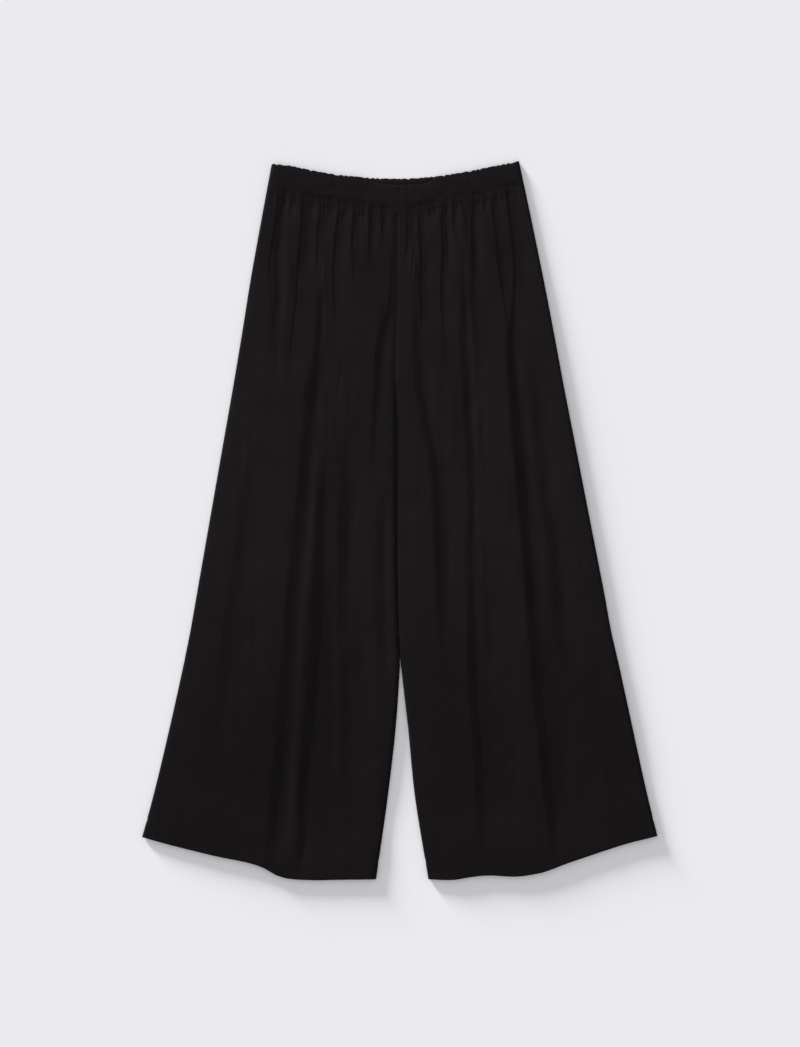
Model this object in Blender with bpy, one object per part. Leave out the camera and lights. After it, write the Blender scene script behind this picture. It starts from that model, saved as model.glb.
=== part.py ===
"""Palazzo pants of black crepe, laid flat on their back with the front up.

Metres, +Z up. +Y runs to the waist, +X to the wearer's left. The origin is the middle of the
outline, on the surface that the trousers lie on. Sizes and tables are in millimetres, and
become metres only where a vertex is made.

Each leg has a front and a back panel, gathered into the waistband. The two layers lie on each
other: the back rests on the surface, and the front lies on the back, puffed up between its folds.
"""

from bisect import bisect_right
from collections import namedtuple
from functools import cache
from math import cos, exp, pi

import bmesh
import bpy

MM = 0.001

# Cloth and seams
WALL = 1.5
SEAM_GAP = 0.3
HEM_DEPTH = 25
HEM_EXTRA = 0.5
HEM_STEP = 3
HEM_EASE = 110
HEM_PUFF = 0.72
BACK_HEM_SHORT = 2

# How the front layer stands off the back layer
PUFF = 3.4
SEAM_PUFF = 0.55
SEAM_EASE = 18
CENTRE_PUFF = 0.5
SIDE_ROLL = 42
INSEAM_ROLL = 28
MOST_HOLLOW = 3.6

# Folds: how wide they are, and the crests beside them
FOLD_WIDTH = 10
CREST = 0.55
CREST_AT = 2.1
SEWN_DEPTH = 0.6

# Gathers: how wide they are, how they widen downwards and how they end
GATHER_WIDTH = 3.9
GATHER_SPREAD = 0.022
GATHER_FADE = 1.4
BACK_GATHER_RISE = 1.9
BACK_GATHER_WIDTH = 6.2
BACK_GATHER_LENGTH = 150

# Waistband casing
RIPPLES = 38
POINTS_PER_RIPPLE = 3
RIPPLE_DEPTH = 0.9
EDGE_RIPPLE_DEPTH = 0.4
SCALLOP = 1.4
FRONT_BAND_LIES_AT = 3.0
FRONT_DIP = 13
DIP_CENTRE = -3
DIP_HALF_WIDTH = 98
BAND_END_ROLL = 9
BAND_END_THICK = 0.6

# Heights along the trousers
BAND_MIDDLE_Y = 500
WAIST_Y = 450
CROTCH_Y = 212
CROTCH_EASE = 60
PANEL_LENGTH = 955

# Sections across the wearer's right leg, from the waist down: where the side seam, the four
# long folds and the inner edge lie
RightSection = namedtuple("RightSection", "y side outer_fold fold_a fold_b inner_fold inner_edge")
RIGHT_SECTIONS = (
    RightSection(520, -184.5, -172, -113, -88, -44, -3),
    RightSection(450, -197.5, -179, -115, -90, -44, -3),
    RightSection(350, -215.5, -191, -118, -95, -45, -3),
    RightSection(275, -227.5, -199, -120, -99, -52, -4),
    RightSection(200, -240, -208, -130, -103.5, -65, -5.5),
    RightSection(100, -257.5, -220, -141, -111, -78, -5.5),
    RightSection(0, -275, -232, -153, -116, -79, -4.5),
    RightSection(-100, -292.5, -241, -166, -121, -80, -3),
    RightSection(-160, -303, -246.5, -169, -124.5, -80, -1.6),
    RightSection(-210, -313, -252, -172, -128, -80, 0.6),
    RightSection(-300, -333, -262, -175.5, -135, -79.5, -5.5),
    RightSection(-400, -357, -273, -180, -142, -78, -17),
    RightSection(-520, -390, -287, -193, -155, -77, -34),
)

# How deep each of those folds is at some of the same heights
RightDepth = namedtuple("RightDepth", "y outer_fold fold_a fold_b inner_fold")
RIGHT_DEPTHS = (
    RightDepth(480, 2.4, 2.6, 2.6, 2.4),
    RightDepth(350, 0.8, 1.6, 2.2, 1.3),
    RightDepth(275, 0.4, 2.4, 1.2, 0.4),
    RightDepth(100, 1.3, 3.0, 1.6, 1.2),
    RightDepth(0, 1.8, 2.8, 3.4, 1.5),
    RightDepth(-200, 1.4, 2.8, 3.9, 1.5),
    RightDepth(-400, 0.6, 3.0, 4.0, 1.2),
    RightDepth(-520, 0.4, 2.2, 3.2, 0.8),
)

# The same for the wearer's left leg
LeftSection = namedtuple("LeftSection", "y inner_edge fold_c fold_d fold_e outer_fold side")
LEFT_SECTIONS = (
    LeftSection(520, -3, 27, 58, 150, 163, 173.5),
    LeftSection(450, -3, 28, 60, 156, 171, 188.5),
    LeftSection(350, -3, 29.5, 62, 165, 179, 209),
    LeftSection(275, -4, 29, 80, 163, 185, 223.5),
    LeftSection(200, -5.5, 27.5, 94, 162, 192, 237.5),
    LeftSection(100, -5.5, 49, 103, 168.5, 205, 257),
    LeftSection(0, -4.5, 53, 105, 180, 217, 276.5),
    LeftSection(-100, -3, 58, 105, 188, 223, 296),
    LeftSection(-160, -1, 62, 106, 192.5, 229.5, 307),
    LeftSection(-210, 2.4, 66, 107, 197, 236, 318.5),
    LeftSection(-300, 12.5, 70.5, 110, 206, 243, 338),
    LeftSection(-400, 22.5, 76, 116, 216, 251, 360),
    LeftSection(-520, 42, 81, 114, 232, 260, 390),
)
LeftDepth = namedtuple("LeftDepth", "y fold_c fold_d fold_e outer_fold")
LEFT_DEPTHS = (
    LeftDepth(480, 2.4, 2.6, 2.6, 2.0),
    LeftDepth(350, 2.2, 2.2, 2.8, 0.6),
    LeftDepth(275, 1.8, 2.8, 3.4, 0.6),
    LeftDepth(100, 2.6, 2.8, 3.8, 1.4),
    LeftDepth(0, 3.4, 2.4, 4.0, 1.6),
    LeftDepth(-200, 1.6, 2.0, 3.4, 1.2),
    LeftDepth(-400, 0.6, 2.2, 3.0, 0.5),
    LeftDepth(-520, 0.4, 2.0, 2.4, 0.3),
)

# Gathers under the waistband: where each one starts, how far down it runs and how deep it is
Gather = namedtuple("Gather", "x length depth")
RIGHT_GATHERS = (
    Gather(-170, 60, 1.9),
    Gather(-157, 95, 1.5),
    Gather(-142, 200, 2.5),
    Gather(-128, 80, 1.6),
    Gather(-103.5, 75, 1.8),
    Gather(-67.5, 120, 2.5),
    Gather(-56.5, 65, 2.1),
    Gather(-25, 55, 2.2),
)
LEFT_GATHERS = (
    Gather(12.5, 65, 2.3),
    Gather(46, 95, 1.8),
    Gather(76, 55, 2.1),
    Gather(91, 65, 2.0),
    Gather(104.5, 120, 2.4),
    Gather(121, 50, 2.0),
    Gather(136, 140, 2.6),
)

# Edges across the trousers: the casing's upper edge at the back, the waist seam and the hems
EdgePoint = namedtuple("EdgePoint", "x y")
BACK_TOP_EDGE = (
    EdgePoint(-186, 517), EdgePoint(-161, 514.5), EdgePoint(-127, 507.5), EdgePoint(-92, 501.5),
    EdgePoint(-57, 498), EdgePoint(-22, 496), EdgePoint(12, 496), EdgePoint(47, 498.5),
    EdgePoint(82, 503), EdgePoint(117, 509.5), EdgePoint(152, 516.5), EdgePoint(174, 521),
)
WAIST_SEAM = (
    EdgePoint(-192, 480), EdgePoint(-144, 469), EdgePoint(-86, 459), EdgePoint(-25, 450.5),
    EdgePoint(1, 449), EdgePoint(34, 456), EdgePoint(76, 464), EdgePoint(118, 472),
    EdgePoint(152, 481), EdgePoint(182, 484),
)
RIGHT_HEM = (
    EdgePoint(-373, -458.5), EdgePoint(-335, -469), EdgePoint(-266, -486), EdgePoint(-231, -493),
    EdgePoint(-214, -497), EdgePoint(-196, -503.5), EdgePoint(-179, -513), EdgePoint(-161, -518.5),
    EdgePoint(-127, -520.7), EdgePoint(-92, -520.3), EdgePoint(-34, -519.5),
)
LEFT_HEM = (
    EdgePoint(41, -519.5), EdgePoint(65, -520.5), EdgePoint(82, -520), EdgePoint(99, -517),
    EdgePoint(117, -514.6), EdgePoint(134, -514), EdgePoint(169, -515.5), EdgePoint(204, -510.5),
    EdgePoint(221, -505), EdgePoint(239, -498), EdgePoint(256, -492), EdgePoint(326, -469),
    EdgePoint(373, -455),
)

# Rows of each panel, as distances below the waist seam. Below the gathers every second column ends
GATHERED_ROWS = (0, 10, 24, 42, 65, 95)
LONG_ROWS = (140, 205, 280, 360, 440, 520, 600, 680, 760, 840, 900)
HEM_ROWS = (PANEL_LENGTH - HEM_DEPTH - HEM_STEP, PANEL_LENGTH - HEM_DEPTH, PANEL_LENGTH)
COLUMNS_PER_GATHER = 4

# Rows of the casing: how far up they lie, and how thick it is there at the front and the back
BandRow = namedtuple("BandRow", "up front_thick back_thick")
BAND_ROWS = (
    BandRow(0, 1.7, 1.6),
    BandRow(0.27, 3.1, 2.7),
    BandRow(0.52, 2.3, 2.3),
    BandRow(0.78, 3.1, 2.7),
    BandRow(1, 1.7, 1.6),
)

# A point on a curved outline is found in this many steps, each nearer than the last
SETTLING_STEPS = 6

# Black crepe, linear colour
CLOTH_COLOUR = (0.011, 0.010, 0.0105, 1)
PANEL_ROUGHNESS = 0.78
BAND_ROUGHNESS = 0.72

Leg = namedtuple("Leg", "side_first sections depths gathers hem")
RIGHT_LEG = Leg(True, RIGHT_SECTIONS, RIGHT_DEPTHS, RIGHT_GATHERS, RIGHT_HEM)
LEFT_LEG = Leg(False, LEFT_SECTIONS, LEFT_DEPTHS, LEFT_GATHERS, LEFT_HEM)


# Curves through the tables


@cache
def read_curve(rows, at):
    """The other columns of a table at a value of its first column, on smooth curves."""
    rows = sorted(rows)
    keys = [row[0] for row in rows]
    at = min(max(at, keys[0]), keys[-1])
    i = min(bisect_right(keys, at), len(keys) - 1) - 1
    here, after = rows[i], rows[i + 1]
    before = rows[max(i - 1, 0)]
    beyond = rows[min(i + 2, len(rows) - 1)]
    span = after[0] - here[0]
    t = (at - here[0]) / span
    values = []
    for a, b, c, d in zip(before[1:], here[1:], after[1:], beyond[1:]):
        slope_here = (c - a) / (after[0] - before[0]) * span
        slope_after = (d - b) / (beyond[0] - here[0]) * span
        values.append(
            b * (2 * t**3 - 3 * t**2 + 1)
            + slope_here * (t**3 - 2 * t**2 + t)
            + c * (3 * t**2 - 2 * t**3)
            + slope_after * (t**3 - t**2)
        )
    return tuple(values)


def ramp(t):
    """0 below 0, 1 above 1 and a smooth rise between."""
    t = min(max(t, 0), 1)
    return t * t * (3 - 2 * t)


def blend(a, b, share):
    return a + (b - a) * share


@cache
def follow(leg, waist_x, y):
    """Where the line that starts at waist_x lies at height y, carried along by the long folds."""
    starts = read_curve(leg.sections, WAIST_Y)
    lines = read_curve(leg.sections, y)
    i = min(max(bisect_right(starts, waist_x) - 1, 0), len(starts) - 2)
    share = (waist_x - starts[i]) / (starts[i + 1] - starts[i])
    return blend(lines[i], lines[i + 1], share)


# How the cloth lies


def trough(distance, width):
    """A fold's cross-section: 1 at its lowest line, below 0 at the crests beside it."""
    crest = exp(-((abs(distance) / width - CREST_AT) ** 2))
    return exp(-((distance / width) ** 2)) - CREST * crest


def gather_depth(leg, x, y, down):
    """How deep the gathers are at a point, which lies a distance down from the waist seam."""
    width = GATHER_WIDTH + GATHER_SPREAD * down
    depth = 0
    for gather in leg.gathers:
        strength = ramp((1 - down / gather.length) * GATHER_FADE)
        depth += strength * gather.depth * trough(x - follow(leg, gather.x, y), width)
    return depth


def loft(leg, x, y, down, hem_share):
    """How far the front stands above where it would lie if both layers were flat."""
    lines = read_curve(leg.sections, y)
    to_side = x - lines[0] if leg.side_first else lines[-1] - x
    to_inner = lines[-1] - x if leg.side_first else x - lines[0]
    above_crotch = ramp((y - CROTCH_Y + CROTCH_EASE) / CROTCH_EASE)
    below_seam = ramp(down / SEAM_EASE)
    inner_roll = blend(ramp(to_inner / INSEAM_ROLL), 1, above_crotch * CENTRE_PUFF)
    stand = PUFF * ramp(to_side / SIDE_ROLL) * inner_roll * blend(SEAM_PUFF, 1, below_seam)
    width = blend(GATHER_WIDTH, FOLD_WIDTH, ramp(down / BACK_GATHER_LENGTH))
    depth = gather_depth(leg, x, y, down)
    for line, fold_depth in zip(lines[1:-1], read_curve(leg.depths, y)):
        depth += fold_depth * trough(x - line, width)
    stand -= depth * blend(SEWN_DEPTH, 1, below_seam)
    side_edge = ramp(2 * to_side / SIDE_ROLL)
    inner_edge = blend(ramp(2 * to_inner / INSEAM_ROLL), 1, above_crotch)
    return max(stand, 0) * side_edge * inner_edge * blend(1, HEM_PUFF, hem_share)


def back_lift(leg, x, y, down, front_loft):
    """How far the back panel leaves the surface: at its gathers, and under the front's crests."""
    valleys = [follow(leg, gather.x, y) for gather in leg.gathers]
    valleys += read_curve(leg.sections, y)[1:-1]
    to_valley = min(abs(x - valley) for valley in valleys)
    gathered = BACK_GATHER_RISE * ramp(1 - down / BACK_GATHER_LENGTH) * ramp(to_valley / BACK_GATHER_WIDTH)
    return min(max(gathered, front_loft - MOST_HOLLOW), front_loft)


# Panels


def waist_columns(leg):
    """The panel's columns at the waist, each with whether it goes on below the gathers."""
    lines = read_curve(leg.sections, WAIST_Y)
    stops = sorted([*lines, *(gather.x for gather in leg.gathers)])
    side_line = lines[0] if leg.side_first else lines[-1]
    columns = []
    for left, right in zip(stops, stops[1:]):
        for step in range(COLUMNS_PER_GATHER):
            goes_on = step % 2 == 0 or side_line in (left, right)
            columns.append((blend(left, right, step / COLUMNS_PER_GATHER), goes_on))
    columns.append((stops[-1], True))
    return columns


def place(leg, waist_x, share, hem_short):
    """Where a column is at a share of the way to the hem: x, y, distances to the seam and the hem."""
    y = blend(WAIST_Y, -WAIST_Y, share)
    for _ in range(SETTLING_STEPS):
        x = follow(leg, waist_x, y)
        seam_y = read_curve(WAIST_SEAM, x)[0] - SEAM_GAP
        hem_y = read_curve(leg.hem, x)[0] + hem_short
        y = blend(seam_y, hem_y, share)
    return x, y, seam_y - y, y - hem_y


def panel_rows(leg, is_front):
    """Rows of (column, upper point, lower point), from the waist seam to the hem."""
    columns = waist_columns(leg)
    inner_column = len(columns) - 1 if leg.side_first else 0
    to_seam = -SEAM_GAP / 2 if leg.side_first else SEAM_GAP / 2
    hem_short = 0 if is_front else BACK_HEM_SHORT
    rows = []
    for distance in GATHERED_ROWS + LONG_ROWS + HEM_ROWS:
        thick = WALL + HEM_EXTRA * (distance >= PANEL_LENGTH - HEM_DEPTH)
        row = []
        for number, (waist_x, goes_on) in enumerate(columns):
            if distance > GATHERED_ROWS[-1] and not goes_on:
                continue
            x, y, down, to_hem = place(leg, waist_x, distance / PANEL_LENGTH, hem_short)
            hem_share = ramp(1 - (to_hem - HEM_DEPTH) / HEM_EASE)
            stand = loft(leg, x, y, down, hem_share)
            if is_front:
                top = 2 * (WALL + HEM_EXTRA * hem_share) + SEAM_GAP + stand
                bottom = top - thick
            else:
                bottom = back_lift(leg, x, y, down, stand)
                top = bottom + thick
            if number == inner_column:
                x += to_seam
            row.append((number, (x, y, top), (x, y, bottom)))
        rows.append(row)
    return rows


# Waistband


def band_point(share, up, is_front):
    """Where the casing is, at a share of the way across and of its height."""
    right_end = read_curve(RIGHT_SECTIONS, BAND_MIDDLE_Y)[0]
    left_end = read_curve(LEFT_SECTIONS, BAND_MIDDLE_Y)[-1]
    for _ in range(SETTLING_STEPS):
        x = blend(right_end, left_end, share)
        low = read_curve(WAIST_SEAM, x)[0]
        high = read_curve(BACK_TOP_EDGE, x)[0]
        if is_front:
            from_centre = min(abs(x - DIP_CENTRE) / DIP_HALF_WIDTH, 1)
            high -= FRONT_DIP * (1 + cos(pi * from_centre)) / 2
        y = blend(low, high, up)
        right_end = read_curve(RIGHT_SECTIONS, y)[0]
        left_end = read_curve(LEFT_SECTIONS, y)[-1]
    return x, y, min(x - right_end, left_end - x)


def band_rows(is_front):
    """Rows of the casing from its top down, with a groove between each two ripples."""
    count = RIPPLES * POINTS_PER_RIPPLE
    inside = FRONT_BAND_LIES_AT if is_front else 0
    rows = []
    for band_row in reversed(BAND_ROWS):
        full = band_row.front_thick if is_front else band_row.back_thick
        groove = EDGE_RIPPLE_DEPTH if band_row.up in (0, 1) else RIPPLE_DEPTH
        row = []
        for number in range(count + 1):
            x, y, to_end = band_point(number / count, band_row.up, is_front)
            thick = full
            if number % POINTS_PER_RIPPLE == 0:
                thick -= groove
                y -= SCALLOP * band_row.up**3
            thick *= blend(BAND_END_THICK, 1, ramp(to_end / BAND_END_ROLL))
            row.append((number, (x, y, inside + thick), (x, y, inside)))
        rows.append(row)
    return rows


# Solids


def add_points(mesh, rows, layer):
    """Vertices of one layer, by row and column."""
    found = []
    for row in rows:
        found.append({entry[0]: mesh.verts.new([value * MM for value in entry[layer]]) for entry in row})
    return found


def add_surface(mesh, rows, faces_up):
    """Faces between rows. Where a row has fewer columns, a fan of three joins it to the one above."""
    for above, below in zip(rows, rows[1:]):
        numbers = sorted(below)
        for left, right in zip(numbers, numbers[1:]):
            corners = [below[left], below[right], above[right], above[left]]
            between = [number for number in above if left < number < right]
            if between:
                middle = above[between[0]]
                faces = [
                    [corners[0], corners[1], middle],
                    [corners[0], middle, corners[3]],
                    [corners[1], corners[2], middle],
                ]
            else:
                faces = [corners]
            for face in faces:
                mesh.faces.new(face if faces_up else [face[0]] + face[:0:-1])


def add_edge_walls(mesh, upper, lower):
    """The faces round the outside, between the upper and the lower layer."""
    for row, turned in ((-1, False), (0, True)):
        numbers = sorted(upper[row])
        for left, right in zip(numbers, numbers[1:]):
            face = [lower[row][left], lower[row][right], upper[row][right], upper[row][left]]
            mesh.faces.new(face[::-1] if turned else face)
    for number, turned in ((min(upper[0]), False), (max(upper[0]), True)):
        over = [row[number] for row in upper]
        under = [row[number] for row in lower]
        if len(over) == len(under):
            faces = [list(corners) for corners in zip(over, under, under[1:], over[1:])]
        else:
            faces = [over[::-1] + under]
        for face in faces:
            mesh.faces.new(face[::-1] if turned else face)


def make_cloth(name, upper_rows, lower_rows, roughness):
    """One closed piece of cloth between an upper and a lower layer of points."""
    mesh = bmesh.new()
    upper = add_points(mesh, upper_rows, 1)
    lower = add_points(mesh, lower_rows, 2)
    add_surface(mesh, upper, True)
    add_surface(mesh, lower, False)
    add_edge_walls(mesh, upper, lower)
    data = bpy.data.meshes.new(name)
    mesh.to_mesh(data)
    mesh.free()
    data.materials.append(black_crepe(name, roughness))
    data.shade_smooth()
    data.set_sharp_from_angle(angle=pi / 4)
    bpy.context.collection.objects.link(bpy.data.objects.new(name, data))


def black_crepe(name, roughness):
    """Dull black cloth."""
    material = bpy.data.materials.new(f"black_crepe_{name}")
    material.use_nodes = True
    surface = material.node_tree.nodes["Principled BSDF"]
    surface.inputs["Base Color"].default_value = CLOTH_COLOUR
    surface.inputs["Roughness"].default_value = roughness
    surface.inputs["Metallic"].default_value = 0
    return material


def build():
    for old in list(bpy.data.objects):
        bpy.data.objects.remove(old, do_unlink=True)
    for layer in ("front", "back"):
        is_front = layer == "front"
        for leg, side in ((LEFT_LEG, "left"), (RIGHT_LEG, "right")):
            rows = panel_rows(leg, is_front)
            make_cloth(f"{layer}_leg_{side}", rows, rows, PANEL_ROUGHNESS)
        rows = band_rows(is_front)
        make_cloth(f"waistband_{layer}", rows, [rows[0], rows[-1]], BAND_ROUGHNESS)


build()
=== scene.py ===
"""Looks of the palazzo pants: dull black crepe, laid flat with the front up, on a pale studio floor.

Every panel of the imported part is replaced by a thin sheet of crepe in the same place, with the
folds, gathers and creases that the cloth lies in. Sizes are in millimetres unless a name says
otherwise, and become metres where a vertex is made. +Y runs to the waist, +X to the wearer's left.
"""

from collections import namedtuple
from math import pi, radians, tau

import bpy
import numpy as np
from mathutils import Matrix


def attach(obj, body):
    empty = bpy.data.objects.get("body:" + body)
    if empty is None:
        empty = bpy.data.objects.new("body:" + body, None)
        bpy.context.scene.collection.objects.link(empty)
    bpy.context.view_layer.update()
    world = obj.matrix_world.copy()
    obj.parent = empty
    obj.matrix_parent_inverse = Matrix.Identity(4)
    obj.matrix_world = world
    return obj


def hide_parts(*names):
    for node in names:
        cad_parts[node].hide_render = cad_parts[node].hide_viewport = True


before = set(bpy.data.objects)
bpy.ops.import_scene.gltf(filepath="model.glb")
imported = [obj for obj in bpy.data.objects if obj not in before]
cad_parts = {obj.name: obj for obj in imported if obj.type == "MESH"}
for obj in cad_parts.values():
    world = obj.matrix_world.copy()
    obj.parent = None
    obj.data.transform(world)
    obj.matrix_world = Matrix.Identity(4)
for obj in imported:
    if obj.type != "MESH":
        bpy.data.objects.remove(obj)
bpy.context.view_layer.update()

MM = 0.001

# The photograph: its size, its scale, the pixel that the trousers' middle falls on and the lens
PHOTO_WIDTH, PHOTO_HEIGHT = 800, 1047
MM_PER_PIXEL = 1.45
MIDDLE_PIXEL_X, MIDDLE_PIXEL_Y = 399.4, 520.6
LENS = 85
SENSOR = 36

# Cloth as drawn: one layer, the turned-up hem, and how high the layers lie
CLOTH = 1.0
HEM_CLOTH = 1.9
HEM_DEPTH = 25
HEM_STEP = 4
HEM_SWELL = 0.05
FRONT_LOWEST = 2.6
HEM_RISE = 1.3
HEM_EASE = 90
BACK_HEM_SHORT = 2
LAYER_GAP = 0.15

# How high the front stands off the back, and what share of that is left at the waist seam
PUFF = 5.2
SEAM_PUFF = 0.63
SEAM_EASE = 320

# Just below the waist seam the front is tucked in to the casing, with part of its gathers
SEAM_TUCK = 13
SEAM_GATHERED = 0.55

# Beside the centre seam, and beside the side seams near the waist
CENTRE_PUFF = 0.75
RIGHT_CENTRE_ROLL, LEFT_CENTRE_ROLL = 10, 20
SEAM_SIDE_SINK = 1.5
WAIST_SIDE_ROLL = 0.2
SIDE_ROLL_EASE = 150

# Above the hem: how far up the front droops and its folds fade, and what is left of them there
HEM_DROOP = 220
HEM_DROOPED = 0.5
FOLDS_FADE = 60
FOLDS_FADED = 0.45

# Distances from the side seam, and the share of its height at which the front stands there: the
# right leg rolls over slowly, and the left leg turns up a little at its very side
RIGHT_SWELL = ((0, 0.22), (6, 0.38), (14, 0.52), (40, 0.8), (80, 0.93), (120, 1))
LEFT_SWELL = ((0, 0.8), (2, 1.02), (7, 1.06), (32, 0.9), (80, 0.97), (120, 1))

# The same from the inner edge, below the crotch: the right leg rolls over into the crease between
# the legs, and the left leg rises more slowly out of it
RIGHT_INNER = ((0, 0.35), (4, 0.88), (8, 0.96), (14, 0.98), (40, 0.95), (90, 1))
LEFT_INNER = ((0, 0.3), (4, 0.54), (36, 0.94), (80, 1))

# The cloth is even beside its side seams, and deep folds ease onto the back layer
SMOOTH_EDGE = 12
EASES_ONTO_BACK = 0.5

# Edges where two panels are sewn together: how they turn in and thin out
SEAM_OVERLAP = 0.2
SEAM_LINE = 1.5
SEAM_CLOTH = 0.16
EDGE_TURN = 4.5
INNER_TURN = 1.3
EDGE_ROUND = 1.6

# The centre seam's groove, and the puckers beside it, whose pitch wanders along the seam
GROOVE = 0.45
GROOVE_WIDTH = 2.4
PUCKER = 0.14
PUCKER_PITCH = 12.5
PUCKER_REACH = 7
PUCKER_WANDER = 3
PUCKER_WANDER_LENGTH = 31

# The small kink in a leg's edges where the turned-up hem ends
HEM_NOTCH = 0.6
HEM_NOTCH_HEIGHT = 4
HEM_NOTCH_REACH = 12

# A fold's cross-section: the shares of its depth that its wide trough and the narrow crease at its
# left wall's foot take, and how wide that crease is to either side
Section = namedtuple("Section", "trough crease")
GATHER_SECTION = Section(0.8, 0.32)
FOLD_SECTION = Section(1, 0)
RIDGE_SECTION = Section(0.8, 0)
CREASE_LEFT, CREASE_RIGHT = 1.1, 1.8

# How wide the steep core of a left wall is, and how far a wall is from straight to smooth
CORE_WIDTH = 4.5
WALL_SMOOTHNESS = 0.5

# Where a trough with a floor is lowest, as a share of its right wall's width and within a limit, and
# how much narrower its rise is
LOWEST_AT = 0.55
LOWEST_WITHIN = 16
NARROWEST_FLOOR = 0.5
RISE_NARROWS = 0.8

# All folds are a little deeper than their rows say, which the dull light needs
FOLDS_DEEPER = 1.1

# Landmarks along the trousers, and a panel's cut
WAIST_Y = 450
CROTCH_Y = 212
CROTCH_EASE = 60
CROTCH_SEAM_EASE = 20
PANEL_LENGTH = 955
CUT_AT_WAIST = 270
CUT_AT_HEM = 348

# Points are placed across and then along an outline that is curved both ways, over and over
SETTLING_STEPS = 8

# A leg's two long edges, from the waist down: a height, and where its left and right edge are there
RIGHT_LEG_EDGES = (
    (520, -184.5, -3), (450, -197.5, -3), (350, -215.5, -3), (275, -227.5, -4), (200, -240, -5.5),
    (100, -257.5, -5.5), (0, -275, -4.5), (-100, -292.5, -3), (-160, -303, -1.6), (-195, -310, 0.1),
    (-210, -313, 0.6), (-300, -333, -5.5), (-400, -357, -17), (-520, -390, -34),
)
LEFT_LEG_EDGES = (
    (520, -3, 173.5), (450, -3, 188.5), (350, -3, 209), (275, -4, 223.5), (200, -5.5, 237.5),
    (100, -5.5, 257), (0, -4.5, 276.5), (-100, -3, 296), (-160, -1.3, 307), (-195, 0.4, 315),
    (-210, 2.2, 318.5), (-300, 12.5, 338), (-400, 22.5, 360), (-520, 42, 390),
)

# Edges across the trousers, by the x and y of their points
BACK_TOP_EDGE = (
    (-186, 517), (-161, 514.5), (-127, 507.5), (-92, 501.5), (-57, 498), (-22, 496), (12, 496),
    (47, 498.5), (82, 503), (117, 509.5), (152, 516.5), (174, 521),
)
WAIST_SEAM = (
    (-192, 480), (-144, 469), (-86, 459), (-25, 450.5), (1, 449), (34, 456), (76, 464), (118, 472),
    (152, 481), (182, 484),
)
RIGHT_HEM = (
    (-373, -458.5), (-335, -469), (-266, -486), (-231, -493), (-214, -497), (-196, -503.5),
    (-179, -513), (-161, -518.5), (-127, -520.7), (-92, -520.3), (-34, -519.5),
)
LEFT_HEM = (
    (41, -519.5), (65, -520.5), (82, -520), (99, -517), (117, -514.6), (134, -514), (169, -515.5),
    (204, -510.5), (221, -505), (239, -498), (256, -492), (326, -469), (373, -457),
)

# Folds, from the waist down. A fold's left and right walls have their own widths, which grow by
# widen along its run. Floor is the share of its depth that lies right of its left wall's foot, and
# core the share of that wall which is steep. Each row is a height, where the foot is there, and how
# deep the fold is. A ridge has depths below 0, and one with a wide left wall is a long, slow swell.
Fold = namedtuple("Fold", "left right widen floor core rows")

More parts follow.
